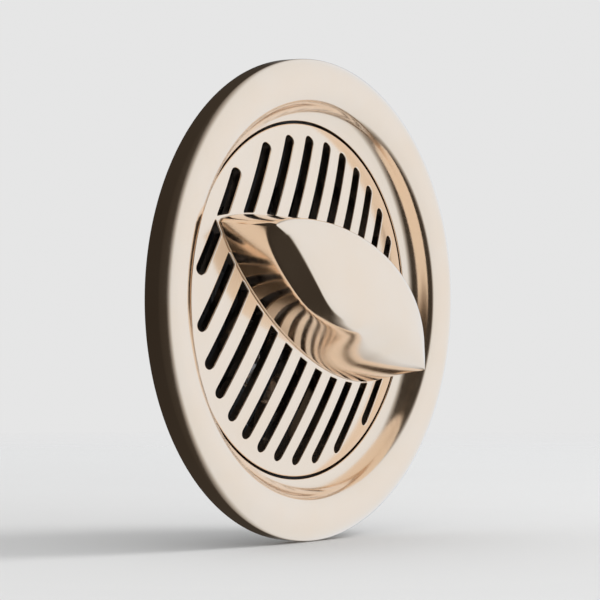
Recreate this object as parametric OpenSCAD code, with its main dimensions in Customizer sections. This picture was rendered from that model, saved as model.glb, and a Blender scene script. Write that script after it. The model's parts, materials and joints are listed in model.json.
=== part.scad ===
// Round vent and visor pivot cover for the side of an open-face riding helmet.
// A push-on cap with a polished bezel carries a slotted dome with a thumb grip.
// Turning the grip a quarter turn works a shutter in the housing behind it.
//
// The modules draw with +z outwards from the helmet's shell and +y up. stand()
// turns that to the part's own frame, where the front faces -Y and up is +Z.
// The origin is on the axis, in the plane where the gasket meets the shell.

/* [Bezel] */
// Outer diameter of the bezel
bezel_d = 50; // [49.6:0.2:51]
// Height of the bezel's straight side wall
bezel_wall_h = 2; // [1.8:0.1:2.2]
// Rise of the bezel's crown above the side wall
crown_rise = 1.3; // [1.2:0.1:1.4]
// Radius of the bezel's inner lip
lip_r = 20.4; // [20.2:0.1:20.5]
// Height of the inner lip above the side wall
lip_rise = 0.4; // [0.4:0.1:0.6]

/* [Grille] */
// Diameter of the slotted dome
grille_d = 36.8; // [36.4:0.1:36.8]
// Rise of the dome from its rim to its top
dome_rise = 2.3; // [2.2:0.1:2.4]
// Thickness of the dome
grille_t = 1; // [0.9:0.05:1]
// Distance between slots
slot_pitch = 2.9; // [2.8:0.05:3]
// Width of each slot
slot_w = 1.25; // [1:0.05:1.4]
// Number of rows of slots
slot_rows = 12; // [8:2:12]
// Plain rim outside the slots' ends
rim_w = 1.3; // [1.2:0.1:1.8]

/* [Thumb grip] */
// Length of the grip where it meets the dome
grip_l = 32.4; // [30:0.2:33]
// Width of the grip where it meets the dome
grip_w = 11.8; // [11:0.2:12]
// Height of the grip's middle above the dome's top
grip_h = 8.2; // [7.5:0.1:9]
// Slope of the grip below the horizontal when the vent is open
grip_tilt = 30; // [20:1:40]

/* [Mounting] */
// Radius of the spigot that fits the hole in the shell
spigot_r = 13; // [12.95:0.05:13.2]
// Depth of the spigot below the shell's face
spigot_l = 5.2; // [5.2:0.1:5.6]
// Radius of the round wall that the visor's eye turns on
journal_r = 20.8; // [20.8:0.05:21]
// Radius of the circle of mounting screws
screw_circle_r = 16.2; // [16.1:0.05:16.3]
// Radius of a mounting screw's shank
screw_r = 1.5; // [1.4:0.1:1.5]
// Depth that the screws reach below the shell's face
screw_l = 4.2; // [4.2:0.5:9.2]

/* [Shutter] */
// Turn of the knob from open to shut
shut_turn = 90; // [90]
// Half of the angle that each port spans
port_half_angle = 37; // [30:1:38]

/* [Hidden] */
$fn = 96;
arc_fn = 360;

// Gaps: between pieces that only sit together, round turning pieces, and past moving faces
seat_gap = 0.02;
turn_gap = 0.05;
free_gap = 0.25;

// Levels of the housing, measured outwards from the shell's face
gasket_t = 0.6;
floor_t = 1.2;
floor_top = gasket_t + floor_t;
journal_top = 3.6;
well_floor_t = 1;
well_floor_top = -spigot_l + well_floor_t;
seal_t = 0.5;

// Radii of the housing
well_r = spigot_r - 1.2;
socket_r = journal_r - 1.1;
gasket_in_r = spigot_r + 1;
gasket_out_r = journal_r - 0.8;
port_in_r = 4.6;
port_out_r = 10.8;

// Carrier and bezel
carrier_r = socket_r - 0.15;
carrier_in_r = 14.8;
carrier_z = floor_top + 0.1;
carrier_top = 2.9;
carrier_wall_t = 0.4;
hub_r = 4.9;
hub_top = 2.6;
spoke_w = 2.4;
bezel_r = bezel_d / 2;
bezel_z = 3.8;
arris_z = bezel_z + bezel_wall_h;
crown_z = arris_z + crown_rise;
lip_z = arris_z + lip_rise;
grille_r = grille_d / 2;
bore_r = grille_r + free_gap;
skirt_t = carrier_r - carrier_wall_t - bore_r - seat_gap;
sill_z = bezel_z + 0.3;
crown_mid_r = bezel_r - 1.8;
undercut = [0.3, 0.3];
slip_in_r = journal_r + 0.7;
slip_out_r = slip_in_r + 2;
wall_arc_r = 3;

// Snap ring between the carrier and the housing
snap_r = (carrier_r + socket_r) / 2 - 0.03;
snap_wire_r = 0.3;
snap_z = 2.4;
snap_gap_angle = 34;

// Dome: two spheres about one centre, so that its thickness is even
rim_z = 4.1;
dome_top = rim_z + dome_rise;
dome_r = (grille_r * grille_r + dome_rise * dome_rise) / (2 * dome_rise);
dome_centre = dome_top - dome_r;
slot_end_r = grille_r - rim_w;
land = 0.4;

// Grip: a long leaf, leaning back on one side at each end
grip_half_l = grip_l / 2;
grip_half_w = grip_w / 2;
foot_r = (grip_half_l * grip_half_l + grip_half_w * grip_half_w) / grip_w;
foot_round = 0.8;
far_half_w = 5.2;
far_round = 0.76;
far_edge_w = 1.3;
far_edge_h = 0.9;
crown_h = 0.6;
tip_drop = 3.1;
tip_inset = 1;
facet_fall_h = 2.1;
nose_peak = -0.1;
grip_end = 0.992;
grip_stations = 40;
near_steps = 12;
far_steps = 4;
crown_steps = 4;
sole_steps = 4;

// Spindle, bush and springs
shaft_r = 2.5;
flange_r = 7.2;
flange_z = 3.15;
flange_top = 4.33;
square_w = 3;
spindle_end = -3.2;
bush_r = 3.5;
bush_flange_r = 4.6;
stop_r = 7.15;
stop_pin_r = 0.5;
stop_angle = 45;
nose_angle = 200;
nose_r = 0.5;
grip_screw_s = 4.6;
grip_screw_r = 0.98;

// Shutter
shutter_r = well_r - 0.3;
shutter_t = 0.8;
shutter_z = well_floor_top + seal_t;
shutter_hub_r = 3.6;
shutter_hub_top = -1.3;
stem_r = 2.4;
stem_end = -spigot_l - 0.9;

// Pawl
pawl_w = 4;
pawl_top_w = 3;
pawl_foot_h = 0.55;
pawl_h = 0.9;
pawl_l = 3.8;
pawl_z = floor_top + turn_gap;
guide_top = floor_top + 1;
guide_t = 0.85;
guide_back = 1.2;

// Turns the outward drawing direction to the part's own frame
module stand() {
    rotate([90, 0, 0]) children();
}

// Ring or disc between two radii and two levels
module ring(inner, outer, low, high) {
    translate([0, 0, low])
        linear_extrude(high - low)
            difference() {
                circle(outer);
                if (inner > 0) circle(inner);
            }
}

// Block between two corners
module block(low, high) {
    translate(low) cube(high - low);
}

// Flat strip of even thickness through a list of points, with round bends
module strip(points, t) {
    for (i = [0 : len(points) - 2]) {
        run = points[i + 1] - points[i];
        translate(points[i]) rotate(atan2(run[1], run[0])) translate([0, -t / 2]) square([norm(run), t]);
    }
    for (p = points) translate(p) circle(t / 2, $fn = 24);
}

// Centre of the circle through three points
function centre_of(a, b, c) =
    let (d = 2 * (a[0] * (b[1] - c[1]) + b[0] * (c[1] - a[1]) + c[0] * (a[1] - b[1])))
    [
        (a * a * (b[1] - c[1]) + b * b * (c[1] - a[1]) + c * c * (a[1] - b[1])) / d,
        (a * a * (c[0] - b[0]) + b * b * (a[0] - c[0]) + c * c * (b[0] - a[0])) / d
    ];

// Two opposite sectors, the ports' plan
module port_plan() {
    reach = 2 * port_out_r;
    for (side = [0, 180])
        rotate(side)
            intersection() {
                difference() {
                    circle(port_out_r);
                    circle(port_in_r);
                }
                polygon([
                    [0, 0],
                    [reach * cos(port_half_angle), -reach * sin(port_half_angle)],
                    [reach * cos(port_half_angle), reach * sin(port_half_angle)]
                ]);
            }
}

// Pawl's stepped section, or with a gap the window and guide that it slides in
module pawl_form(gap, back, front) {
    block([back, -pawl_w / 2 - gap, pawl_z - gap], [front, pawl_w / 2 + gap, pawl_z + pawl_foot_h + gap]);
    block([back, -pawl_top_w / 2 - gap, pawl_z - gap], [front, pawl_top_w / 2 + gap, pawl_z + pawl_h + gap]);
}

// Housing: floor, visor journal, spigot and well, turned as one section
module housing_section() {
    edge = 0.3;
    polygon([
        [stem_r + turn_gap, -spigot_l],
        [spigot_r - edge, -spigot_l],
        [spigot_r, -spigot_l + edge],
        [spigot_r, gasket_t],
        [journal_r, gasket_t],
        [journal_r, journal_top - edge],
        [journal_r - edge, journal_top],
        [socket_r + edge, journal_top],
        [socket_r, journal_top - edge],
        [socket_r, floor_top],
        [well_r, floor_top],
        [well_r, well_floor_top],
        [stem_r + turn_gap, well_floor_top]
    ]);
}

module housing() {
    color("#1b1b1d")
        stand()
            difference() {
                union() {
                    rotate_extrude() housing_section();
                    for (side = [-1, 1])
                        mirror([0, side > 0 ? 0 : 1, 0])
                            block(
                                [-socket_r - 0.1, pawl_top_w / 2 + turn_gap, floor_top - 0.1],
                                [-spigot_r - guide_back, pawl_w / 2 + guide_t, guide_top]
                            );
                    block(
                        [-spigot_r - guide_back, -pawl_w / 2 - guide_t, floor_top - 0.1],
                        [-spigot_r - 0.4, pawl_w / 2 + guide_t, guide_top]
                    );
                }
                pawl_form(turn_gap, -journal_r - 1, -spigot_r - guide_back);
                translate([0, 0, -spigot_l - 1]) linear_extrude(well_floor_t + 2) port_plan();
                for (turn = [0, 120, 240]) rotate(turn) translate([screw_circle_r, 0, 0]) screw_hole();
                translate([0, 0, snap_z])
                    rotate_extrude() translate([snap_r, 0]) circle(snap_wire_r + turn_gap, $fn = 32);
            }
}

// Countersunk hole through the housing's floor
module screw_hole() {
    ring(0, screw_r + 0.1, 0, floor_top);
    translate([0, 0, gasket_t + 0.05])
        cylinder(h = floor_t - 0.05 + 0.001, r1 = screw_r + 0.1, r2 = screw_r + floor_t + 0.05);
}

// Foam gasket between the housing and the shell
module shell_gasket() {
    color("#2a2a2a")
        stand()
            difference() {
                ring(gasket_in_r, gasket_out_r, 0, gasket_t);
                for (turn = [0, 120, 240])
                    rotate(turn) translate([screw_circle_r, 0, -1]) cylinder(h = 3, r = screw_r + 0.3);
            }
}

// Captive screw: threaded shank, thinner neck, countersunk head with a six-sided driver recess
module mounting_screw() {
    head_r = screw_r + floor_t;
    neck_r = screw_r - 0.3;
    neck_z = 0.4;
    difference() {
        union() {
            ring(0, screw_r, -screw_l, -neck_z);
            ring(0, neck_r, -neck_z - 0.1, gasket_t + 0.2);
            translate([0, 0, gasket_t + 0.1]) cylinder(h = floor_t - 0.15, r1 = neck_r, r2 = head_r - 0.1);
        }
        translate([0, 0, floor_top - 0.9]) cylinder(h = 1, r = 1.15, $fn = 6);
    }
}

module mounting_screws() {
    color("silver")
        stand()
            for (turn = [0, 120, 240]) rotate(turn) translate([screw_circle_r, 0, 0]) mounting_screw();
}

// Felt-backed seal between the well's floor and the shutter
module shutter_seal() {
    color("#333333")
        stand()
            translate([0, 0, well_floor_top])
                linear_extrude(seal_t - seat_gap)
                    difference() {
                        circle(well_r - 0.2);
                        circle(stem_r + 0.6);
                        port_plan();
                    }
}

// Folded strip that presses the pawl outwards
module pawl_spring() {
    spring_t = 0.2;
    back = -spigot_r - guide_back - spring_t / 2 - seat_gap;
    front = -journal_r + pawl_l + spring_t / 2 + seat_gap;
    half_w = 0.4 * pawl_top_w;
    folds = [for (i = [0 : 4]) [back + (front - back) * i / 4, (i % 2 == 0 ? -1 : 1) * half_w]];
    ends = [[back, 0.75 * half_w], each folds, [front, 0.75 * half_w]];
    color("silver")
        stand()
            translate([0, 0, pawl_z + 0.02])
                linear_extrude(pawl_h - 0.1)
                    strip(ends, spring_t);
}

module visor_pawl() {
    color("#3a3a3c")
        stand()
            intersection() {
                pawl_form(0, -journal_r - 1, -journal_r + pawl_l);
                ring(0, journal_r - seat_gap, 0, guide_top);
            }
}

// Disc with two ports, a hub with a square socket, and a stem through the well's floor
module shutter() {
    socket_w = square_w + 0.06;
    color("#242426")
        stand()
            difference() {
                union() {
                    translate([0, 0, shutter_z])
                        linear_extrude(shutter_t)
                            difference() {
                                circle(shutter_r);
                                port_plan();
                            }
                    ring(0, shutter_hub_r, shutter_z, shutter_hub_top);
                    ring(0, stem_r, stem_end, shutter_z + 0.1);
                }
                block(
                    [-socket_w / 2, -socket_w / 2, spindle_end - 0.2],
                    [socket_w / 2, socket_w / 2, shutter_hub_top + 1]
                );
                ring(1.85, stem_r + 1, -spigot_l - 0.45, -spigot_l);
            }
}

// Open retaining clip in a groove
module clip(inner, outer, low, t, turn) {
    translate([0, 0, low])
        linear_extrude(t)
            rotate(turn)
                difference() {
                    circle(outer);
                    circle(inner);
                    translate([0, -inner * 0.8]) square([outer + 1, inner * 1.6]);
                }
}

module shutter_clip() {
    color("silver")
        stand()
            clip(1.9, 3.4, -spigot_l - 0.4, 0.35, 60);
}

// Bezel's section: a crowned face over a straight wall, hollowed towards the dome
module bezel_section() {
    crown = centre_of([bezel_r, arris_z], [crown_mid_r, crown_z], [lip_r, lip_z]);
    chord = [lip_r - bore_r, lip_z - sill_z];
    side = [-chord[1], chord[0]] / norm(chord);
    hollow = [lip_r + bore_r, lip_z + sill_z] / 2 + side * sqrt(wall_arc_r * wall_arc_r - chord * chord / 4);
    difference() {
        union() {
            translate([bore_r, bezel_z]) square([bezel_r - bore_r, bezel_wall_h]);
            intersection() {
                translate(crown) circle(norm([bezel_r, arris_z] - crown), $fn = arc_fn);
                translate([bore_r, arris_z]) square([bezel_r, crown_rise * 2]);
            }
            translate([bore_r, carrier_top]) square([skirt_t, sill_z - carrier_top]);
        }
        translate(hollow) circle(wall_arc_r, $fn = arc_fn);
        polygon([
            [bezel_r - undercut[0], bezel_z - 1],
            [bezel_r - undercut[0], bezel_z],
            [bezel_r, bezel_z + undercut[1]],
            [bezel_r + 1, bezel_z + undercut[1]],
            [bezel_r + 1, bezel_z - 1]
        ]);
        translate([slip_in_r, bezel_z - 1]) square([slip_out_r - slip_in_r, 1.65]);
    }
}

module bezel_ring() {
    color("#e2c4a4")
        stand()
            rotate_extrude() bezel_section();
}

// Nylon ring that the visor's arm slides under
module slip_ring() {
    color("#e8e4dc")
        stand()
            ring(slip_in_r + seat_gap, slip_out_r - seat_gap, bezel_z - 0.45, bezel_z + 0.6);
}

// Black moulding that joins the bezel, the bush and the snap ring
module carrier() {
    color("#202022")
        stand()
            difference() {
                union() {
                    ring(carrier_in_r, carrier_r, carrier_z, carrier_top);
                    ring(carrier_r - carrier_wall_t, carrier_r, carrier_z, bezel_z - seat_gap);
                    ring(0, hub_r, 0.1, hub_top);
                    for (turn = [45 : 90 : 315])
                        rotate(turn) {
                            block(
                                [hub_r - 0.2, -spoke_w / 2, carrier_z],
                                [carrier_in_r + 0.2, spoke_w / 2, carrier_top]
                            );
                            block([hub_r - 0.2, -0.5, 0.6], [well_r - 0.5, 0.5, carrier_z + 0.1]);
                        }
                    rotate(stop_angle)
                        translate([stop_r, 0, 0])
                            ring(0, stop_pin_r, carrier_top - 0.2, flange_top - 0.3);
                }
                ring(0, bush_r + seat_gap, 0, hub_top + 1);
                block([-carrier_r - 1, -3.3, 0], [-carrier_in_r + 1, 3.3, carrier_top + 0.05]);
                rotate(225) translate([10.6, 0, 0]) ring(0, 0.62, 1.4, 4);
                translate([0, 0, snap_z])
                    rotate_extrude() translate([snap_r, 0]) circle(snap_wire_r + turn_gap, $fn = 32);
            }
}

// Flanged bush that the spindle turns in
module spindle_bush() {
    color("#c8a24a")
        stand() {
            ring(shaft_r + 0.03, bush_r, 0, hub_top + 0.1);
            ring(shaft_r + 0.03, bush_flange_r, hub_top + seat_gap, carrier_top - seat_gap);
        }
}

// Round-wire ring, open where the pawl sits
module snap_ring() {
    color("silver")
        stand()
            translate([0, 0, snap_z])
                rotate(180 + snap_gap_angle / 2)
                    rotate_extrude(angle = 360 - snap_gap_angle)
                        translate([snap_r, 0]) circle(snap_wire_r, $fn = 32);
}

// Leaf on one spoke whose nose drops into a notch in the spindle's flange
module click_spring() {
    arm_t = 0.25;
    nose = (flange_r + 0.15) * [cos(nose_angle - 225), sin(nose_angle - 225)];
    heel = (flange_r + 0.85) * [cos(nose_angle - 225), sin(nose_angle - 225)];
    color("silver")
        stand()
            rotate(225) {
                difference() {
                    block([9.2, -1.1, carrier_top], [11.9, 1.1, carrier_top + 0.25]);
                    translate([10.6, 0, 0]) ring(0, 0.65, 0, 5);
                }
                translate([0, 0, carrier_top])
                    linear_extrude(1.2) strip([[9.3, 0.95], [9.0, -0.6], heel], arm_t);
                translate([0, 0, flange_z + 0.1])
                    linear_extrude(0.95) {
                        strip([heel, nose], arm_t);
                        translate(nose) circle(nose_r, $fn = 24);
                    }
            }
}

module click_spring_screw() {
    color("silver")
        stand()
            rotate(225)
                translate([10.6, 0, 0])
                    difference() {
                        union() {
                            ring(0, 0.6, 1.5, 3.4);
                            ring(0, 1.05, carrier_top + 0.25 + seat_gap, carrier_top + 0.85);
                        }
                        block([-2, -0.15, carrier_top + 0.6], [2, 0.15, carrier_top + 1]);
                    }
}

// Level of the dome's outer face at a distance from the axis
function dome_z(r) = dome_centre + sqrt(dome_r * dome_r - r * r);

// Plan of all the slots, stopping short of the grip's foot
module slot_plan() {
    rotate(-grip_tilt)
        difference() {
            for (row = [0 : slot_rows - 1]) {
                along = (row - (slot_rows - 1) / 2) * slot_pitch;
                reach = sqrt(slot_end_r * slot_end_r - along * along) - slot_w / 2;
                translate([along, 0]) {
                    square([slot_w, 2 * reach], center = true);
                    for (end = [-1, 1]) translate([0, end * reach]) circle(slot_w / 2, $fn = 32);
                }
            }
            leaf_plan(land);
        }
}

// Plan of the grip's foot, or with a margin the land round it
module leaf_plan(margin) {
    intersection_for(side = [-1, 1])
        translate([0, side * (foot_r - grip_half_w)]) circle(foot_r + margin, $fn = arc_fn);
}

// Revolved slice of the dome between two depths below its face
module dome_slice(outer_r, upper, lower) {
    rotate_extrude()
        intersection() {
            difference() {
                translate([0, dome_centre]) circle(dome_r - upper, $fn = arc_fn);
                translate([0, dome_centre]) circle(dome_r - lower, $fn = arc_fn);
            }
            square([outer_r, dome_top + 1]);
        }
}

// Slotted dome with a boss under the grip, which the spindle's flange is screwed to
module grille() {
    color("#e6cbab")
        stand()
            difference() {
                union() {
                    dome_slice(grille_r, 0, grille_t);
                    intersection() {
                        dome_slice(flange_r, grille_t / 2, grille_t + 3);
                        rotate(-grip_tilt)
                            translate([0, 0, flange_top + seat_gap])
                                linear_extrude(dome_rise)
                                    leaf_plan(0);
                    }
                }
                linear_extrude(dome_top + 1) slot_plan();
                rotate(-grip_tilt)
                    for (end = [-1, 1])
                        translate([end * grip_screw_s, 0, 0]) ring(0, grip_screw_r + 0.1, 0, 10);
            }
}

// Smooth step from 0 to 1
function ease(x) = let (k = min(1, max(0, x))) k * k * (3 - 2 * k);

// Grip: half width of its foot at a station u from -1 to 1 along it, and of its far side's top edge
function foot_w(u) = grip_half_w * pow(max(0, 1 - u * u), foot_round);
function far_w(u) = far_half_w * pow(max(0, 1 - u * u), far_round);

// Grip: level of the dome under a point of its plan, and of its ridge line
function foot_z(u, across) = dome_z(norm([u * grip_half_l, across])) + seat_gap;
function ridge_z(u) = dome_top + grip_h - crown_h - tip_drop * u * u;

// Grip: the near side has a leaning facet on one half, where u is below 0, and a rounded nose on
// the other: the facet's share of the width, its height, and how far the side is nose
function facet_share(u) = min(0.8, pow(max(0, -u), 1.9));
function facet_fall(u) = facet_fall_h * pow(max(0, 1 - u * u), 0.25) * ease(-u / 0.3);
function nose_share(u) = ease((u + 0.5) / 0.9);

// Grip: one point of the near side as [distance out, level], q from 0 at the foot to 1 at the ridge
function near_point(u, q) =
    let (
        foot = [foot_w(u), foot_z(u, foot_w(u))],
        wall_top = [foot_w(u), ridge_z(u) - facet_fall(u)],
        ridge = [foot_w(u) * (1 - facet_share(u)), ridge_z(u)],
        creased = q < 0.5 ? foot + 2 * q * (wall_top - foot) : wall_top + (2 * q - 1) * (ridge - wall_top),
        rolled = [
            foot[0] + (nose_peak * foot_w(u) - foot[0]) * q,
            foot[1] + (ridge_z(u) - foot[1]) * (1 - (1 - q) * (1 - q))
        ]
    )
    creased + nose_share(u) * (rolled - creased);

// Grip: one point of the far side's rounded top edge, q from 0 at the wall to 1 at the crown
function far_point(u, q) =
    [
        far_w(u) - min(far_edge_w, 0.6 * far_w(u)) * (1 - cos(90 * q)),
        ridge_z(u) - far_edge_h * (1 - sin(90 * q))
    ];

// Grip: the whole section at a station, as [across, level]
function section(u) =
    let (
        near = [for (k = [0 : near_steps]) near_point(u, k / near_steps)],
        far = [[foot_w(u), foot_z(u, foot_w(u))], for (k = [0 : far_steps]) far_point(u, k / far_steps)],
        edge_n = near[near_steps],
        edge_f = far[far_steps + 1],
        rise = crown_h * far_w(u) / far_half_w * (1 - 0.8 * nose_share(u))
    )
    [
        for (p = near) [-p[0], p[1]],
        for (k = [1 : crown_steps - 1])
            [
                -edge_n[0] + (edge_n[0] + edge_f[0]) * k / crown_steps,
                edge_n[1] + rise * sin(180 * k / crown_steps)
            ],
        for (i = [len(far) - 1 : -1 : 0]) far[i],
        for (k = [sole_steps - 1 : -1 : 1 - sole_steps])
            let (across = foot_w(u) * k / sole_steps) [across, foot_z(u, across)]
    ];

// Grip: a section's points in space, where the tips lean inwards with height
function section_points(u) = [
    for (p = section(u))
        let (lean = tip_inset * max(0, p[1] - foot_z(u, 0)) / (grip_h - tip_drop))
        [u * grip_half_l - u * u * u * lean, p[0], p[1]]
];

module thumb_grip() {
    stations = [for (i = [0 : grip_stations]) grip_end * sin(90 * (2 * i / grip_stations - 1))];
    rings = [for (u = stations) section_points(u)];
    n = len(rings[0]);
    skin = [
        for (i = [0 : grip_stations - 1], j = [0 : n - 1])
            let (a = i * n + j, b = i * n + (j + 1) % n)
            each [[a, a + n, b], [b, a + n, b + n]]
    ];
    ends = [[for (j = [0 : n - 1]) j], [for (j = [n - 1 : -1 : 0]) grip_stations * n + j]];
    color("#ead2b6")
        stand()
            rotate(-grip_tilt)
                difference() {
                    polyhedron([for (r = rings) each r], concat(skin, ends));
                    for (end = [-1, 1])
                        translate([end * grip_screw_s, 0, 0])
                            ring(0, grip_screw_r + seat_gap, 0, dome_top + 4.5);
                }
}

// Two screws from below that hold the spindle, the grille and the grip together
module grip_screws() {
    color("silver")
        stand()
            rotate(-grip_tilt)
                for (end = [-1, 1])
                    translate([end * grip_screw_s, 0, 0])
                        difference() {
                            union() {
                                ring(0, grip_screw_r, flange_z + 0.3, dome_top + 4);
                                translate([0, 0, flange_z]) cylinder(h = 0.8, r1 = 1.75, r2 = grip_screw_r);
                            }
                            translate([0, 0, flange_z - 0.5]) cylinder(h = 1.1, r = 0.75, $fn = 6);
                        }
}

// Flanged shaft with a square end; its rim has two click notches and a stop step
module spindle() {
    stop_half = asin((stop_pin_r + turn_gap) / stop_r);
    reach = 2 * flange_r;
    color("#b9b9bd")
        stand()
            difference() {
                union() {
                    ring(0, flange_r, flange_z, flange_top);
                    ring(0, shaft_r, -1, flange_z + 0.1);
                    block([-square_w / 2, -square_w / 2, spindle_end], [square_w / 2, square_w / 2, -0.9]);
                }
                ring(1.9, shaft_r + 1, -0.55, -0.1);
                for (turn = [0, shut_turn])
                    rotate(nose_angle + turn) translate([flange_r + 0.15, 0, 0]) ring(0, nose_r + 0.12, 0, 6);
                linear_extrude(6)
                    difference() {
                        polygon([
                            [0, 0],
                            for (k = [0 : 3])
                                let (a = stop_angle - stop_half + k * (shut_turn + 2 * stop_half) / 3)
                                reach * [cos(a), sin(a)]
                        ]);
                        circle(stop_r - stop_pin_r - 0.15);
                    }
                rotate(-grip_tilt)
                    for (end = [-1, 1])
                        translate([end * grip_screw_s, 0, 0]) {
                            ring(0, grip_screw_r + 0.1, 0, 10);
                            translate([0, 0, flange_z - 0.001])
                                cylinder(h = 0.85, r1 = 1.85, r2 = grip_screw_r + 0.1);
                        }
            }
}

module spindle_clip() {
    color("silver")
        stand()
            clip(1.95, 4.2, -0.5, 0.35, 20);
}

// Spring washer that takes up the play between the spindle and its bush
module disc_spring() {
    color("silver")
        stand()
            ring(2.8, 4.5, carrier_top, flange_z - seat_gap);
}

housing();
shell_gasket();
mounting_screws();
shutter_seal();
pawl_spring();
visor_pawl();
shutter();
shutter_clip();
bezel_ring();
slip_ring();
carrier();
spindle_bush();
snap_ring();
click_spring();
click_spring_screw();
grille();
thumb_grip();
grip_screws();
spindle();
spindle_clip();
disc_spring();
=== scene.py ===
"""Looks of a round helmet vent: polished rose-gold bezel, slotted dome and leaf-shaped thumb grip.

Everything is in metres in the part's own frame: the front faces -Y, up is +Z and the axis is Y.
Outward distances ("levels") are measured from the mounting plane towards the front, so level = -y.
"""

import json
import math

import bmesh
import bpy
import numpy as np
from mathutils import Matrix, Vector
from mathutils.geometry import delaunay_2d_cdt


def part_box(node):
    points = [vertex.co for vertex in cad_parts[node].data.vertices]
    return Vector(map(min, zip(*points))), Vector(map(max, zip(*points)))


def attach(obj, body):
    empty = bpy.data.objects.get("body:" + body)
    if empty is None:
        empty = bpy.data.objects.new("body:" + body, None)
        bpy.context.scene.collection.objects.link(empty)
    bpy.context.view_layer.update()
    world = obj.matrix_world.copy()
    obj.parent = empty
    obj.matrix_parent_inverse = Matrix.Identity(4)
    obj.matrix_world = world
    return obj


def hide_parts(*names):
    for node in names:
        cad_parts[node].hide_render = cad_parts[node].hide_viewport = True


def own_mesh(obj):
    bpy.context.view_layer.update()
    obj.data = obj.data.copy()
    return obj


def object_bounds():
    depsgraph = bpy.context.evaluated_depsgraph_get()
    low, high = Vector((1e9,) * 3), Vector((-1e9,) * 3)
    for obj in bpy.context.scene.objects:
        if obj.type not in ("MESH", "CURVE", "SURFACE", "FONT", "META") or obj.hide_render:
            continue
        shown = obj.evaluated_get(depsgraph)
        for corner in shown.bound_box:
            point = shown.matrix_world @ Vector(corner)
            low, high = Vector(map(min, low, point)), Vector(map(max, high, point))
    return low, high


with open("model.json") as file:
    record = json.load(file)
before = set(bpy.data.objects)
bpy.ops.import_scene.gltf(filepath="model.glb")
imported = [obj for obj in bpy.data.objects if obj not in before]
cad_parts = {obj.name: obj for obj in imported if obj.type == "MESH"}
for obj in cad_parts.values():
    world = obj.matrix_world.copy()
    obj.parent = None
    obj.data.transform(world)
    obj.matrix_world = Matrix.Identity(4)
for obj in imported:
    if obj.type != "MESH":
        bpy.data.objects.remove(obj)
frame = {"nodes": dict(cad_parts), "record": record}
cad_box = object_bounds()

MM = 0.001

# ---------------------------------------------------------------- sizes, from the frame


def radius_of(node):
    """Largest radius of a node round the axis, from its box."""
    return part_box(node)[1].x


def levels_of(node):
    """Lowest and highest level of a node."""
    low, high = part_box(node)
    return -high.y, -low.y


BEZEL_R = radius_of("bezel_ring")
SKIRT_Z = levels_of("bezel_ring")[0]
JOURNAL_R = radius_of("housing")
GRILLE_R = radius_of("grille")
DOME_TOP = levels_of("grille")[1]

# Bezel
WALL_Z = 3.8 * MM
ARRIS_Z = WALL_Z + 2 * MM
LIP_R = 20.4 * MM
LIP_Z = ARRIS_Z + 0.4 * MM
CROWN_MID_R = 23.2 * MM
UNDERCUT = (0.3 * MM, 0.3 * MM)
BORE_R = GRILLE_R + 0.25 * MM
SILL_Z = WALL_Z + 0.3 * MM
LIP_ROUND = 0.5 * MM
CROWN_RISE = 1.3 * MM
HOLLOW_ARC = 3 * MM
SKIRT_R = 19.13 * MM
SLIP_IN = JOURNAL_R + 0.7 * MM
SLIP_OUT = SLIP_IN + 2 * MM
SLIP_TOP = WALL_Z + 0.65 * MM
BEZEL_SOFT = 0.09 * MM
BEZEL_STEP = 0.03 * MM
BEZEL_SEGMENTS = 320

# Dome and slots
RIM_Z = 4.1 * MM
DOME_RISE = DOME_TOP - RIM_Z
DOME_SPHERE = (GRILLE_R ** 2 + DOME_RISE ** 2) / (2 * DOME_RISE)
DOME_CENTRE = DOME_TOP - DOME_SPHERE
GRILLE_T = 1 * MM
SLOT_END_R = GRILLE_R - 1.3 * MM
SLOT_PITCH = 2.9 * MM
SLOT_W = 1.25 * MM
SLOT_ROWS = 12
LAND = 0.4 * MM
GRIP_TILT = math.radians(30)
BOSS_R = 7.2 * MM
BOSS_Z = 4.35 * MM
BOSS_STEP = 0.25 * MM
BOSS_OVERLAP = 0.05 * MM
SLOT_SOFT = 0.07 * MM
SLOT_FINE_STEP = 0.05 * MM
SLOT_STEP = 0.14 * MM
GRILLE_EDGE = 0.14 * MM

# Grid of points that fills the dome's plan: spacing, and in spacings the rows' pitch and the edges' margin
GRID = 0.7 * MM
GRID_ROW = 0.87
GRID_CLEAR = 0.45

# Thumb grip: its facet runs along one half of the near side, and its nose along the other
GRIP_HALF_L = 16.2 * MM
GRIP_HALF_W = 5.9 * MM
GRIP_FAR_HALF_W = 5.2 * MM
FOOT_ROUND = 0.8
FAR_ROUND = 0.76
GRIP_CROWN = 0.6 * MM
GRIP_TIP_DROP = 3.1 * MM
GRIP_TIP_INSET = 1 * MM
GRIP_END = 0.992
SOLE_GAP = 0.02 * MM
FACET_FALL = 2.1 * MM
FACET_ROUND = 0.25
FACET_FADE = 0.3
FACET_CURVE = 1.9
FACET_MOST = 0.8
NOSE_PEAK = -0.1
NOSE_FROM = -0.5
NOSE_RUN = 0.9
NOSE_FLATTENS = 0.8
FAR_EDGE_W = 1.3 * MM
FAR_EDGE_MOST = 0.6
FAR_EDGE_H = 0.9 * MM
GRIP_H = 8.2 * MM
FOOT_ARC = (GRIP_HALF_L ** 2 + GRIP_HALF_W ** 2) / (2 * GRIP_HALF_W)
GRIP_STATIONS = 180
SOLE_STEPS = 6

# Carried-over pieces: the shortest edge kept, and what counts as one point, flat or edge
SLIVER = 0.02 * MM
MERGE = 0.002 * MM
FLAT_ANGLE = math.radians(0.6)
EDGE_ANGLE = math.radians(28)

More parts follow.
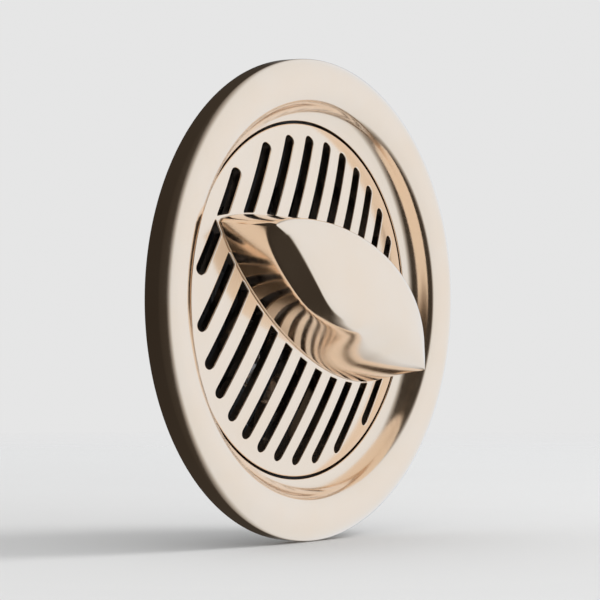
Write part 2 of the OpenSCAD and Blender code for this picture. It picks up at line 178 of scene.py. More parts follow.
# Stage
FLOOR_R = 0.6
FLOOR_FADE = (0.06, 0.26)
FLOOR_GAP = 0.05 * MM
AZIMUTH = math.radians(-52.8)
LENS = 180
SENSOR = 36
FRAME_SHARE = 0.80
BACKDROP = (0.79, 0.79, 0.79)
EVEN_LIGHT = (0.80, 0.80, 0.80)
STUDIO_STRENGTH = 1.08

# Studio that the metal mirrors: tones by how far a direction points to the bright side, from -1 to 1
KEY = Vector((0.75, -0.66, 0.0))
STUDIO_TONES = [
    (-1.0, (0.030, 0.026, 0.022)),
    (0.13, (0.045, 0.040, 0.034)),
    (0.28, (0.34, 0.35, 0.36)),
    (0.42, (0.73, 0.83, 0.95)),
    (1.0, (0.77, 0.87, 1.00)),
]


# ---------------------------------------------------------------- mesh helpers


def arc(centre, radius, start, end, steps):
    """Points along a circle's arc between two points on it, both included."""
    a = math.atan2(start[1] - centre[1], start[0] - centre[0])
    b = math.atan2(end[1] - centre[1], end[0] - centre[0])
    turn = (b - a + math.pi) % (2 * math.pi) - math.pi
    angles = [a + turn * k / steps for k in range(steps + 1)]
    return [(centre[0] + radius * math.cos(t), centre[1] + radius * math.sin(t)) for t in angles]


def circle(radius, count):
    """Evenly spaced plan points round the axis."""
    angles = [2 * math.pi * k / count for k in range(count)]
    return [(radius * math.cos(a), radius * math.sin(a)) for a in angles]


def centre_through(a, b, c):
    """Centre of the circle through three points."""
    d = 2 * (a[0] * (b[1] - c[1]) + b[0] * (c[1] - a[1]) + c[0] * (a[1] - b[1]))
    sa, sb, sc = (p[0] ** 2 + p[1] ** 2 for p in (a, b, c))
    x = (sa * (b[1] - c[1]) + sb * (c[1] - a[1]) + sc * (a[1] - b[1])) / d
    y = (sa * (c[0] - b[0]) + sb * (a[0] - c[0]) + sc * (b[0] - a[0])) / d
    return x, y


def resample(points, step):
    """The same closed outline with even spacing."""
    p = np.array(points, float)
    p = np.vstack([p, p[:1]])
    run = np.concatenate([[0], np.cumsum(np.linalg.norm(np.diff(p, axis=0), axis=1))])
    count = max(8, int(round(run[-1] / step)))
    at = np.linspace(0, run[-1], count + 1)
    return np.column_stack([np.interp(at, run, p[:, k]) for k in range(p.shape[1])])[:-1]


def softened(points, reach, step):
    """Rounds a closed outline's corners by blurring it over a reach."""
    p = resample(points, step)
    for _ in range(max(1, int(round(2 * (reach / step) ** 2)))):
        p = (np.roll(p, 1, 0) + 2 * p + np.roll(p, -1, 0)) / 4
    return p


def thinned(points, turn=math.radians(2.5), longest=0.6 * MM):
    """Keeps the points of a closed outline that its curves need."""
    p = np.array(points)
    ahead = np.roll(p, -1, 0) - p
    angle = np.unwrap(np.arctan2(ahead[:, 1], ahead[:, 0]))
    kept, last, gone = [0], angle[0], 0.0
    for k in range(1, len(p)):
        gone += float(np.linalg.norm(p[k] - p[k - 1]))
        if abs(angle[k] - last) > turn or gone > longest:
            kept.append(k)
            last, gone = angle[k], 0.0
    return p[kept]


def new_object(name, bm, smooth=True):
    """A mesh object from a bmesh, with its faces turned outwards."""
    bmesh.ops.recalc_face_normals(bm, faces=bm.faces)
    mesh = bpy.data.meshes.new(name)
    bm.to_mesh(mesh)
    bm.free()
    for face in mesh.polygons:
        face.use_smooth = smooth
    obj = bpy.data.objects.new(name, mesh)
    bpy.context.scene.collection.objects.link(obj)
    return obj


def lathe(name, outline, segments):
    """Turns a closed outline of (radius, level) round the axis."""
    bm = bmesh.new()
    rings = []
    for k in range(segments):
        a = 2 * math.pi * k / segments
        rings.append([bm.verts.new((r * math.cos(a), -w, r * math.sin(a))) for r, w in outline])
    count = len(outline)
    for k in range(segments):
        here, there = rings[k], rings[(k + 1) % segments]
        for j in range(count):
            bm.faces.new((here[j], here[(j + 1) % count], there[(j + 1) % count], there[j]))
    return new_object(name, bm)


# ---------------------------------------------------------------- bezel


def bezel_outline():
    """Section of the bezel: skirt, hollow wall, crowned face, side wall, slip-ring groove."""
    arris = (BEZEL_R, ARRIS_Z)
    crown = (CROWN_MID_R, ARRIS_Z + CROWN_RISE)
    lip = (LIP_R, LIP_Z)
    sill = (BORE_R, SILL_Z)
    crown_centre = centre_through(arris, crown, lip)
    crown_r = math.dist(crown_centre, arris)
    chord = Vector((lip[0] - sill[0], lip[1] - sill[1]))
    side = Vector((-chord.y, chord.x)).normalized()
    middle = Vector(((lip[0] + sill[0]) / 2, (lip[1] + sill[1]) / 2))
    hollow = middle + side * math.sqrt(HOLLOW_ARC ** 2 - chord.length_squared / 4)
    wall = arc(hollow, HOLLOW_ARC, sill, lip, 40)
    face = arc(crown_centre, crown_r, lip, arris, 80)
    wall = [p for p in wall if math.dist(p, lip) > LIP_ROUND]
    face = [p for p in face if math.dist(p, lip) > LIP_ROUND]
    points = [(BORE_R, SKIRT_Z)] + wall
    fillet = 12
    for k in range(1, fillet):
        t = k / fillet
        points.append(tuple(
            (1 - t) ** 2 * w + 2 * t * (1 - t) * c + t ** 2 * f
            for w, c, f in zip(wall[-1], lip, face[0])
        ))
    points += face
    points += [
        (BEZEL_R, WALL_Z + UNDERCUT[1]),
        (BEZEL_R - UNDERCUT[0], WALL_Z),
        (SLIP_OUT, WALL_Z),
        (SLIP_OUT, SLIP_TOP),
        (SLIP_IN, SLIP_TOP),
        (SLIP_IN, WALL_Z),
        (SKIRT_R, WALL_Z),
        (SKIRT_R, SKIRT_Z),
    ]
    return thinned(softened(points, BEZEL_SOFT, BEZEL_STEP))


def make_bezel():
    bezel = lathe("bezel", bezel_outline(), BEZEL_SEGMENTS)
    placed(bezel, "cap", "rose_gold", "bezel_ring")


# ---------------------------------------------------------------- grille


def dome_level(radius, depth=0.0):
    """Level of the dome's face at a radius, or of the face a depth below it."""
    return DOME_CENTRE + math.sqrt((DOME_SPHERE - depth) ** 2 - radius ** 2)


def turned(points, angle):
    """Plan points turned about the axis."""
    c, s = math.cos(angle), math.sin(angle)
    return [(x * c - y * s, x * s + y * c) for x, y in points]


def slot_outline(along, side):
    """One slot of a row, from the grip's foot to the plain rim, in the grip's own plan."""
    half = SLOT_W / 2
    reach = math.sqrt(SLOT_END_R ** 2 - along ** 2) - half
    arc_r = FOOT_ARC + LAND
    away = FOOT_ARC - GRIP_HALF_W
    across = [along + half - SLOT_W * k / 6 for k in range(7)]
    foot = [(x, math.sqrt(arc_r ** 2 - x ** 2) - away) for x in across]
    angles = [math.pi * k / 16 for k in range(17)]
    cap = [(along - half * math.cos(a), reach + half * math.sin(a)) for a in angles]
    outline = resample(softened(foot + cap, SLOT_SOFT, SLOT_FINE_STEP), SLOT_STEP)
    return [(x, side * y) for x, y in outline]


def outward_sides(loop, into_hole):
    """Unit plan normals of a loop that point into the plate's material."""
    p = np.array(loop)
    along = np.roll(p, -1, 0) - np.roll(p, 1, 0)
    n = np.column_stack([along[:, 1], -along[:, 0]])
    n /= np.linalg.norm(n, axis=1)[:, None]
    area = 0.5 * np.sum(p[:, 0] * np.roll(p[:, 1], -1) - np.roll(p[:, 0], -1) * p[:, 1])
    outward = n if area > 0 else -n
    return outward if into_hole else -outward


def inside(points, loop):
    """Which plan points lie inside a loop, by crossings."""
    x, y = points[:, 0], points[:, 1]
    result = np.zeros(len(points), bool)
    for (x0, y0), (x1, y1) in zip(loop, loop[1:] + loop[:1]):
        crosses = (y0 > y) != (y1 > y)
        if y0 != y1:
            result ^= crosses & (x < (x1 - x0) * (y - y0) / (y1 - y0) + x0)
    return result


def grille_loops():
    """Outer edge and slots of the grille in plan, each with its normals into the material."""
    rim = circle(GRILLE_R, 360)
    loops = [(rim, outward_sides(rim, False))]
    for row in range(SLOT_ROWS):
        along = (row - (SLOT_ROWS - 1) / 2) * SLOT_PITCH
        for side in (1, -1):
            slot = turned(slot_outline(along, side), -GRIP_TILT)
            loops.append((slot, outward_sides(slot, True)))
    return loops


def plan_grid(loops, reach):
    """Staggered points that fill the plate between its loops, within a reach of the axis."""
    steps = int(GRILLE_R / GRID)
    grid = np.array([
        (GRID * (i + 0.5 * (j % 2)), GRID * GRID_ROW * j)
        for i in range(-steps - 1, steps + 2)
        for j in range(-steps - 3, steps + 4)
    ])
    keep = np.hypot(grid[:, 0], grid[:, 1]) < reach
    for loop in loops[1:]:
        keep &= ~inside(grid, loop)
    border = np.array([p for loop in loops for p in loop])
    grid = grid[keep]
    near = np.array([np.min(np.hypot(*(border - g).T)) for g in grid])
    return [tuple(g) for g in grid[near > GRID * GRID_CLEAR]]


def plan_faces(verts, edges, loops):
    """Triangles of the plate between its loops, as lists of the points' numbers."""
    plan, _, faces, origin, _, _ = delaunay_2d_cdt([Vector(v) for v in verts], edges, [], 0, 1e-9)
    if len(plan) != len(verts):
        raise RuntimeError("the grille's plan has points in common")
    order = {new: old[0] for new, old in enumerate(origin)}
    middles = np.array([np.mean([plan[i] for i in f], axis=0) for f in faces])
    solid = inside(middles, loops[0])
    for loop in loops[1:]:
        solid &= ~inside(middles, loop)
    return [[order[i] for i in f] for f, ok in zip(faces, solid) if ok]


def dome_normal(x, y):
    """Outward normal of the dome above a plan point."""
    return Vector((x, -(dome_level(math.hypot(x, y)) - DOME_CENTRE), y)).normalized()


def plate_mesh(name, loops, edge, depth, fillet=4):
    """A domed plate with holes: exact faces above and below, and a rounded top edge at every loop."""
    inset = [
        [(x + edge * nx, y + edge * ny) for (x, y), (nx, ny) in zip(loop, sides)]
        for loop, sides in loops
    ]
    starts = np.cumsum([0] + [len(loop) for loop in inset])
    verts = [p for loop in inset for p in loop] + plan_grid(inset, GRILLE_R - 2 * edge)
    edges = [
        (starts[k] + j, starts[k] + (j + 1) % len(loop))
        for k, loop in enumerate(inset)
        for j in range(len(loop))
    ]
    bm = bmesh.new()
    normals = []

    def add(x, y, level, n):
        normals.append(n)
        return bm.verts.new((x, -level, y))

    top = [add(x, y, dome_level(math.hypot(x, y)), dome_normal(x, y)) for x, y in verts]
    under = [add(x, y, dome_level(math.hypot(x, y), depth), -dome_normal(x, y)) for x, y in verts]
    for corners in plan_faces(verts, edges, inset):
        bm.faces.new([top[i] for i in corners])
        bm.faces.new([under[i] for i in reversed(corners)])
    for k, (loop, sides) in enumerate(loops):
        count = len(loop)
        rings = [[top[starts[k] + j] for j in range(count)]]
        for step in range(1, fillet + 1):
            a = math.pi / 2 * step / fillet
            share = 1 - math.sin(a)
            ring = []
            for (x, y), (nx, ny) in zip(loop, sides):
                level = dome_level(math.hypot(x, y)) - edge * (1 - math.cos(a))
                n = dome_normal(x, y) * math.cos(a) - Vector((nx, 0, ny)) * math.sin(a)
                ring.append(add(x + nx * edge * share, y + ny * edge * share, level, n.normalized()))
            rings.append(ring)
        rings.append([
            add(x, y, dome_level(math.hypot(x, y), depth) + edge / 2, -Vector((nx, 0, ny)))
            for (x, y), (nx, ny) in zip(loop, sides)
        ])
        rings.append([under[starts[k] + j] for j in range(count)])
        for a, b in zip(rings, rings[1:]):
            for j in range(count):
                bm.faces.new((a[j], a[(j + 1) % count], b[(j + 1) % count], b[j]))
    if any(not v.link_faces for v in bm.verts):
        raise RuntimeError("the grille has loose points")
    obj = new_object(name, bm)
    obj.data.normals_split_custom_set_from_vertices(normals)
    return obj


def leaf_half_width(s):
    """Half width of the lens-shaped land under the grip at a distance along it."""
    return math.sqrt(FOOT_ARC ** 2 - s ** 2) - (FOOT_ARC - GRIP_HALF_W)


def make_boss():
    """The boss under the grip that the spindle's flange is screwed to."""
    lens = [(x, max(-leaf_half_width(x), min(leaf_half_width(x), y))) for x, y in circle(BOSS_R, 240)]
    plan = turned(resample(lens, BOSS_STEP), -GRIP_TILT)
    bm = bmesh.new()
    under = [dome_level(math.hypot(x, y), GRILLE_T) for x, y in plan]
    low = [bm.verts.new((x, -BOSS_Z, y)) for x, y in plan]
    high = [bm.verts.new((x, -level - BOSS_OVERLAP, y)) for (x, y), level in zip(plan, under)]
    count = len(plan)
    for j in range(count):
        bm.faces.new((low[j], low[(j + 1) % count], high[(j + 1) % count], high[j]))
    bm.faces.new(low)
    bm.faces.new(high)
    return new_object("grille_boss", bm)


def make_grille():
    dome = plate_mesh("grille_dome", grille_loops(), GRILLE_EDGE, GRILLE_T)
    placed(dome, "knob", "rose_gold", "grille")
    placed(make_boss(), "knob", "rose_gold")


# ---------------------------------------------------------------- thumb grip


def ease(x):
    """Smooth step from 0 to 1."""
    k = min(1.0, max(0.0, x))
    return k * k * (3 - 2 * k)


def grip_foot_w(u):
    """Half width of the grip's foot at a station u from -1 to 1 along it."""
    return GRIP_HALF_W * max(0.0, 1 - u * u) ** FOOT_ROUND


def grip_far_w(u):
    """Distance of the far side's top edge from the middle."""
    return GRIP_FAR_HALF_W * max(0.0, 1 - u * u) ** FAR_ROUND


def grip_foot_z(u, across):
    """Level of the grip's sole, which sits just off the dome, at a point of its plan."""
    return dome_level(math.hypot(u * GRIP_HALF_L, across)) + SOLE_GAP


def grip_ridge(u):
    """Level of the grip's ridge line."""
    return DOME_TOP + GRIP_H - GRIP_CROWN - GRIP_TIP_DROP * u * u


def nose_share(u):
    """How far the near side is its rounded nose, from 0 on the facet's half to 1."""
    return ease((u - NOSE_FROM) / NOSE_RUN)


def grip_near_side(u, steps=48):
    """The side with a leaning facet, which turns into a rounded nose, as (distance out, level)."""
    foot = np.array((grip_foot_w(u), grip_foot_z(u, grip_foot_w(u))))
    fall = FACET_FALL * max(0.0, 1 - u * u) ** FACET_ROUND * ease(-u / FACET_FADE)
    wall_top = np.array((grip_foot_w(u), grip_ridge(u) - fall))
    share = min(FACET_MOST, max(0.0, -u) ** FACET_CURVE)
    ridge = np.array((grip_foot_w(u) * (1 - share), grip_ridge(u)))
    peak = np.array((NOSE_PEAK * grip_foot_w(u), grip_ridge(u)))
    points = []
    for k in range(steps + 1):
        q = k / steps
        if q < 0.5:
            creased = foot + 2 * q * (wall_top - foot)
        else:
            creased = wall_top + (2 * q - 1) * (ridge - wall_top)
        rolled = foot + (peak - foot) * (q, 1 - (1 - q) ** 2)
        points.append(creased + nose_share(u) * (rolled - creased))
    return points


def grip_far_side(u, wall_steps=16, edge_steps=16):
    """The plain side: an upright wall with a rounded top edge, as (distance out, level)."""
    width = min(FAR_EDGE_W, FAR_EDGE_MOST * grip_far_w(u))
    angles = [math.pi / 2 * k / edge_steps for k in range(edge_steps + 1)]
    edge = [
        (grip_far_w(u) - width * (1 - math.cos(a)), grip_ridge(u) - FAR_EDGE_H * (1 - math.sin(a)))
        for a in angles
    ]
    foot = np.array((grip_foot_w(u), grip_foot_z(u, grip_foot_w(u))))
    wall = [tuple(foot + (np.array(edge[0]) - foot) * k / wall_steps) for k in range(wall_steps)]
    return wall + edge


def smoothed(points, passes):
    """The points drawn towards their neighbours, with the two ends held."""
    for _ in range(passes):
        points[1:-1] = (points[:-2] + 2 * points[1:-1] + points[2:]) / 4
    return points


def grip_section(u, crown_steps=32, edge_passes=5, nose_passes=90):
    """The whole section over the dome at a station, with softened edges and a fixed order of points."""
    near = grip_near_side(u)
    far = grip_far_side(u)
    edge_n, edge_f = near[-1], far[-1]
    rise = GRIP_CROWN * grip_far_w(u) / GRIP_FAR_HALF_W * (1 - NOSE_FLATTENS * nose_share(u))
    crown = [
        (
            -edge_n[0] + (edge_n[0] + edge_f[0]) * k / crown_steps,
            edge_n[1] + rise * math.sin(math.pi * k / crown_steps),
        )
        for k in range(1, crown_steps)
    ]
    points = np.array([(-x, z) for x, z in near] + crown + list(reversed(far)))
    points = smoothed(points, edge_passes)
    turn = len(near) + crown_steps // 2
    points[:turn] = smoothed(points[:turn], round(nose_passes * nose_share(u)))
    return [tuple(point) for point in points]


def grip_point(u, across, level):
    """A section's point in space: the tips lean inwards with height, and the whole turns by the tilt."""
    lean = GRIP_TIP_INSET * max(0.0, level - grip_foot_z(u, 0)) / (GRIP_H - GRIP_TIP_DROP)
    s = u * GRIP_HALF_L - u ** 3 * lean
    x, y = turned([(s, across)], -GRIP_TILT)[0]
    return x, -level, y


def make_grip():
    steps = GRIP_STATIONS
    stations = [GRIP_END * math.sin(math.pi / 2 * (2 * k / steps - 1)) for k in range(steps + 1)]
    bm = bmesh.new()
    rings = []
    for u in stations:
        section = grip_section(u)
        half = section[-1][0]
        across = [half * k / SOLE_STEPS for k in range(SOLE_STEPS - 1, -SOLE_STEPS, -1)]
        sole = [(a, grip_foot_z(u, a)) for a in across]
        rings.append([bm.verts.new(grip_point(u, a, w)) for a, w in section + sole])
    count = len(rings[0])
    for here, there in zip(rings, rings[1:]):
        for j in range(count):
            bm.faces.new((here[j], here[(j + 1) % count], there[(j + 1) % count], there[j]))
    caps = [bm.faces.new(rings[0]), bm.faces.new(list(reversed(rings[-1])))]
    bmesh.ops.triangulate(bm, faces=caps, ngon_method="BEAUTY")
    placed(new_object("grip_leaf", bm), "knob", "rose_gold", "thumb_grip")


# ---------------------------------------------------------------- carried-over pieces


def refined(node, body, slot, width):
    """A cleaned copy of a CAD node with small bevels on its edges.

    Edges shorter than a sliver go first, because one of them would clamp every bevel to nothing.
    """
    source = frame["nodes"][node]
    bm = bmesh.new()
    bm.from_mesh(source.data)
    bmesh.ops.remove_doubles(bm, verts=bm.verts, dist=MERGE)
    bmesh.ops.dissolve_degenerate(bm, dist=SLIVER, edges=bm.edges)
    bmesh.ops.dissolve_limit(bm, angle_limit=FLAT_ANGLE, verts=bm.verts, edges=bm.edges)
    bmesh.ops.dissolve_degenerate(bm, dist=SLIVER, edges=bm.edges)
    obj = new_object(node + "_body", bm)
    bevel = obj.modifiers.new("edges", "BEVEL")
    bevel.width = width
    bevel.segments = 2
    bevel.limit_method = "ANGLE"
    bevel.angle_limit = EDGE_ANGLE
    bevel.use_clamp_overlap = True
    bevel.harden_normals = True
    return placed(obj, body, slot, node)


def placed(obj, body, slot, *nodes):
    """Rides the piece on its body, gives it its slot's material and hides the CAD nodes that it stands for.
    """
    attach(obj, body)
    if nodes:
        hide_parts(*nodes)
    obj.data.materials.clear()
    obj.data.materials.append(MATERIALS[slot])
    return obj


# ---------------------------------------------------------------- materials


class Nodes:
    """Short calls for building a material's node tree."""

    def __init__(self, name):
        self.material = bpy.data.materials.new(name)
        self.material.use_nodes = True
        self.tree = self.material.node_tree
        self.shader = self.tree.nodes["Principled BSDF"]
        self.place = self.add("ShaderNodeTexCoord").outputs["Object"]

    def add(self, kind, **values):
        node = self.tree.nodes.new(kind)
        for key, value in values.items():
            setattr(node, key, value)
        return node

    def link(self, a, b):
        self.tree.links.new(a, b)

    def noise(self, scale, detail=4.0, roughness=0.5, place=None):
        node = self.add("ShaderNodeTexNoise")
        node.inputs["Scale"].default_value = scale
        node.inputs["Detail"].default_value = detail
        node.inputs["Roughness"].default_value = roughness
        self.link(place or self.place, node.inputs["Vector"])
        return node.outputs["Fac"]

    def stretched(self, x, y, z):
        node = self.add("ShaderNodeMapping")
        node.inputs["Scale"].default_value = (x, y, z)
        self.link(self.place, node.inputs["Vector"])
        return node.outputs["Vector"]

    def ramp(self, value, low, high, a=0.3, b=0.7):
        node = self.add("ShaderNodeMapRange")
        node.inputs["From Min"].default_value = a
        node.inputs["From Max"].default_value = b
        node.inputs["To Min"].default_value = low
        node.inputs["To Max"].default_value = high
        self.link(value, node.inputs["Value"])
        return node.outputs["Result"]

    def colours(self, value, low, high, a=0.3, b=0.7):
        node = self.add("ShaderNodeValToRGB")
        node.color_ramp.elements[0].position = a
        node.color_ramp.elements[0].color = (*low, 1)
        node.color_ramp.elements[1].position = b
        node.color_ramp.elements[1].color = (*high, 1)
        self.link(value, node.inputs["Fac"])
        return node.outputs["Color"]

    def bump(self, height, distance, strength=1.0, normal=None):
        node = self.add("ShaderNodeBump")
        node.inputs["Strength"].default_value = strength
        node.inputs["Distance"].default_value = distance
        self.link(height, node.inputs["Height"])
        if normal is not None:
            self.link(normal, node.inputs["Normal"])
        return node.outputs["Normal"]

    def turning(self, pitch):
        """Rings round the axis, as a lathe leaves them."""
        split = self.add("ShaderNodeSeparateXYZ")
        self.link(self.place, split.inputs["Vector"])
        flat = self.add("ShaderNodeCombineXYZ")
        self.link(split.outputs["X"], flat.inputs["X"])
        self.link(split.outputs["Z"], flat.inputs["Y"])
        length = self.add("ShaderNodeVectorMath", operation="LENGTH")
        self.link(flat.outputs["Vector"], length.inputs[0])
        ring = self.add("ShaderNodeMath", operation="MULTIPLY")
        self.link(length.outputs["Value"], ring.inputs[0])
        ring.inputs[1].default_value = 1 / pitch
        spread = self.add("ShaderNodeCombineXYZ")
        self.link(ring.outputs["Value"], spread.inputs["X"])
        return self.noise(1.0, 3.0, 0.6, spread.outputs["Vector"])

    def set(self, **values):
        for key, value in values.items():
            self.shader.inputs[key.replace("_", " ")].default_value = value

    def wire(self, name, value):
        self.link(value, self.shader.inputs[name])


def rose_gold():
    """Polished plating: faint buffing lines, slow waviness and a slight haze in patches."""
    n = Nodes("rose_gold")
    n.set(Metallic=1.0)
    haze = n.noise(160, 5.0, 0.6)
    n.wire("Base Color", n.colours(haze, (0.955, 0.745, 0.560), (0.965, 0.775, 0.605)))
    buff = n.noise(1.0, 6.0, 0.65, n.stretched(2600, 2600, 380))
    fine = n.noise(5200, 2.0)
    rough = n.add("ShaderNodeMath", operation="ADD")
    n.link(n.ramp(haze, 0.0, 0.05), rough.inputs[0])
    n.link(n.ramp(buff, 0.09, 0.15), rough.inputs[1])
    n.wire("Roughness", rough.outputs["Value"])
    wave = n.bump(n.noise(190, 2.0), 0.02 * MM, 0.35)
    n.wire("Normal", n.bump(fine, 0.0006 * MM, 0.5, wave))
    return n.material


def moulded(name, dark, light, rough, grain, depth):
    """Moulded plastic with a fine spark-eroded grain and slightly shinier high spots."""
    n = Nodes(name)
    cloud = n.noise(700, 4.0)
    pits = n.noise(grain, 3.0, 0.7)
    n.wire("Base Color", n.colours(cloud, dark, light))
    n.wire("Roughness", n.ramp(pits, rough + 0.1, rough - 0.08))
    n.wire("Normal", n.bump(pits, depth, 0.6))
    n.set(IOR=1.5)
    return n.material


def foam():
    """Closed-cell foam: small dimples over a soft mottle."""
    n = Nodes("foam_rubber")
    cells = n.add("ShaderNodeTexVoronoi")
    cells.inputs["Scale"].default_value = 3300
    n.link(n.place, cells.inputs["Vector"])
    n.wire("Base Color", n.colours(n.noise(900, 4.0), (0.022, 0.022, 0.023), (0.05, 0.05, 0.052)))
    n.wire("Normal", n.bump(cells.outputs["Distance"], 0.12 * MM, 0.7))
    n.wire("Roughness", n.ramp(cells.outputs["Distance"], 0.95, 0.8, 0.1, 0.6))
    return n.material


def metal(name, dark, light, low, high, pitch, depth):
    """Turned or drawn metal: rings round the axis in roughness and bump."""
    n = Nodes(name)
    n.set(Metallic=1.0)
    rings = n.turning(pitch)
    patch = n.noise(500, 4.0)
    n.wire("Base Color", n.colours(patch, dark, light))
    n.wire("Roughness", n.ramp(rings, low, high))
    n.wire("Normal", n.bump(rings, depth, 0.5))
    return n.material


# Plastics: darkest and lightest colour, roughness, scale and depth of the grain
PLASTICS = {
    "black_nylon": ((0.012, 0.012, 0.013), (0.024, 0.024, 0.026), 0.5, 4200, 0.03 * MM),
    "grey_acetal": ((0.040, 0.040, 0.043), (0.062, 0.062, 0.066), 0.36, 2600, 0.012 * MM),
    "white_acetal": ((0.68, 0.66, 0.61), (0.78, 0.76, 0.71), 0.38, 2600, 0.012 * MM),
}

# Metals: darkest and lightest colour, least and most roughness, pitch and depth of the turning marks
METALS = {
    "zinc_steel": ((0.50, 0.52, 0.56), (0.66, 0.67, 0.68), 0.22, 0.36, 0.12 * MM, 0.004 * MM),
    "spring_steel": ((0.42, 0.42, 0.43), (0.58, 0.57, 0.56), 0.18, 0.32, 0.2 * MM, 0.003 * MM),
    "black_oxide_steel": ((0.05, 0.05, 0.055), (0.09, 0.09, 0.095), 0.3, 0.45, 0.09 * MM, 0.006 * MM),
    "brass": ((0.72, 0.50, 0.20), (0.84, 0.62, 0.30), 0.16, 0.32, 0.09 * MM, 0.006 * MM),
}


def make_materials():
    """Every slot's material by name."""
    made = {"rose_gold": rose_gold()}
    made.update({name: moulded(name, *values) for name, values in PLASTICS.items()})
    made["foam_rubber"] = foam()
    made.update({name: metal(name, *values) for name, values in METALS.items()})
    return made


# ---------------------------------------------------------------- stage


def make_floor():
    """Pale floor that fades out with distance, so that no horizon shows behind the part."""
    bm = bmesh.new()
    bmesh.ops.create_circle(bm, cap_ends=True, segments=96, radius=FLOOR_R)
    bmesh.ops.translate(bm, verts=bm.verts, vec=(0, 0, cad_box[0].z - FLOOR_GAP))
    floor = new_object("floor", bm, smooth=False)
    n = Nodes("floor_pale")
    n.wire("Base Color", n.colours(n.noise(14, 3.0), (0.80, 0.795, 0.785), (0.82, 0.815, 0.805)))
    n.set(Roughness=0.7, Specular_IOR_Level=0.2)
    length = n.add("ShaderNodeVectorMath", operation="LENGTH")
    n.link(n.place, length.inputs[0])
    clear = n.add("ShaderNodeBsdfTransparent")
    mix = n.add("ShaderNodeMixShader")
    n.link(n.ramp(length.outputs["Value"], 0, 1, *FLOOR_FADE), mix.inputs["Fac"])
    n.link(n.shader.outputs["BSDF"], mix.inputs[1])
    n.link(clear.outputs["BSDF"], mix.inputs[2])
    n.link(mix.outputs["Shader"], n.tree.nodes["Material Output"].inputs["Surface"])
    floor.data.materials.append(n.material)
    floor.visible_glossy = False


def make_world():
    """A plain pale backdrop, and a soft studio that is bright in front on the right and dark elsewhere."""
    world = bpy.data.worlds.new("studio")
    bpy.context.scene.world = world
    world.use_nodes = True
    tree = world.node_tree
    tree.nodes.clear()

    def add(kind, **values):
        node = tree.nodes.new(kind)
        for key, value in values.items():
            setattr(node, key, value)
        return node

    direction = add("ShaderNodeTexCoord").outputs["Generated"]
    dot = add("ShaderNodeVectorMath", operation="DOT_PRODUCT")
    tree.links.new(direction, dot.inputs[0])
    dot.inputs[1].default_value = KEY
    ramp = add("ShaderNodeValToRGB")
    span = add("ShaderNodeMapRange")
    span.inputs["From Min"].default_value = -1
    span.inputs["From Max"].default_value = 1
    tree.links.new(dot.outputs["Value"], span.inputs["Value"])
    tree.links.new(span.outputs["Result"], ramp.inputs["Fac"])
    elements = ramp.color_ramp.elements
    while len(elements) > 1:
        elements.remove(elements[-1])
    elements[0].position = 0
    elements[0].color = (*STUDIO_TONES[0][1], 1)
    for at, colour in STUDIO_TONES[1:]:
        elements.new((at + 1) / 2).color = (*colour, 1)
    studio = add("ShaderNodeBackground")
    studio.inputs["Strength"].default_value = STUDIO_STRENGTH
    tree.links.new(ramp.outputs["Color"], studio.inputs["Color"])
    rays = add("ShaderNodeLightPath")
    shader = studio.outputs["Background"]
    for ray, colour in (("Is Diffuse Ray", EVEN_LIGHT), ("Is Camera Ray", BACKDROP)):
        plain = add("ShaderNodeBackground")
        plain.inputs["Color"].default_value = (*colour, 1)
        pick = add("ShaderNodeMixShader")
        tree.links.new(rays.outputs[ray], pick.inputs["Fac"])
        tree.links.new(shader, pick.inputs[1])
        tree.links.new(plain.outputs["Background"], pick.inputs[2])
        shader = pick.outputs["Shader"]
    tree.links.new(shader, add("ShaderNodeOutputWorld").inputs["Surface"])


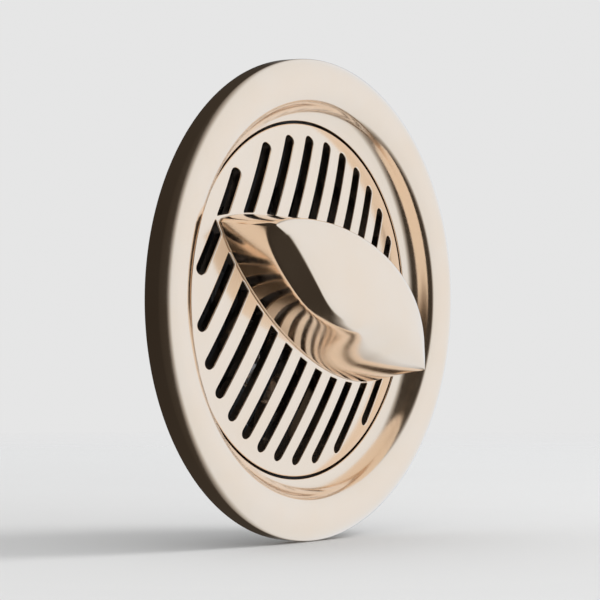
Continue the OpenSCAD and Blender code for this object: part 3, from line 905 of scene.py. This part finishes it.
def soft_light(name, place, aim, size, power):
    """Round softbox that lights the part but isn't mirrored in it."""
    lamp = bpy.data.lights.new(name, "AREA")
    lamp.shape = "DISK"
    lamp.size = size
    lamp.energy = power
    obj = bpy.data.objects.new(name, lamp)
    bpy.context.scene.collection.objects.link(obj)
    obj.location = place
    obj.rotation_mode = "QUATERNION"
    obj.rotation_quaternion = (Vector(aim) - Vector(place)).to_track_quat("-Z", "Y")
    obj.visible_glossy = False


def make_camera():
    """Level with the part and round to its left, through a long lens."""
    centre = (cad_box[0] + cad_box[1]) / 2
    back = Vector((math.sin(AZIMUTH), -math.cos(AZIMUTH), 0))
    camera = bpy.data.objects.new("camera", bpy.data.cameras.new("camera"))
    bpy.context.scene.collection.objects.link(camera)
    camera.data.lens = LENS
    camera.data.sensor_width = SENSOR
    view_h = (cad_box[1].z - cad_box[0].z) / FRAME_SHARE
    camera.location = centre + back * (view_h * camera.data.lens / camera.data.sensor_width)
    camera.rotation_mode = "QUATERNION"
    camera.rotation_quaternion = (-back).to_track_quat("-Z", "Y")
    camera.data.clip_start = 0.01
    camera.data.clip_end = 20
    bpy.context.scene.camera = camera


# ---------------------------------------------------------------- build

bpy.context.scene.view_settings.view_transform = "Standard"
MATERIALS = make_materials()
SLOTS = {row["node"]: row["material_slot"] for row in frame["record"]["subparts"]}
BODY_OF = {
    node: body
    for body, members in frame["record"]["behaviour"]["bodies"].items()
    for node in members
}

make_camera()
make_world()
make_floor()
soft_light("key", place=(0.35, -0.35, 0.45), aim=(0, 0, 0), size=0.30, power=1.6)
make_bezel()
make_grille()
make_grip()

# Width of the edges' bevels in mm
BEVELS = {
    "housing": 0.12,
    "carrier": 0.1,
    "shutter": 0.1,
    "slip_ring": 0.15,
    "shell_gasket": 0.08,
    "shutter_seal": 0.06,
    "mounting_screws": 0.08,
    "visor_pawl": 0.1,
    "spindle": 0.08,
    "spindle_bush": 0.06,
    "click_spring_screw": 0.05,
    "grip_screws": 0.05,
    "shutter_clip": 0.05,
    "spindle_clip": 0.05,
    "click_spring": 0.03,
    "pawl_spring": 0.03,
    "disc_spring": 0.04,
    "snap_ring": 0.03,
}
pieces = {
    node_name: refined(node_name, BODY_OF[node_name], SLOTS[node_name], width * MM)
    for node_name, width in BEVELS.items()
}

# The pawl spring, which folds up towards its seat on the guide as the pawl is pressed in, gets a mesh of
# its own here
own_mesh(pieces["pawl_spring"])

bpy.context.view_layer.update()
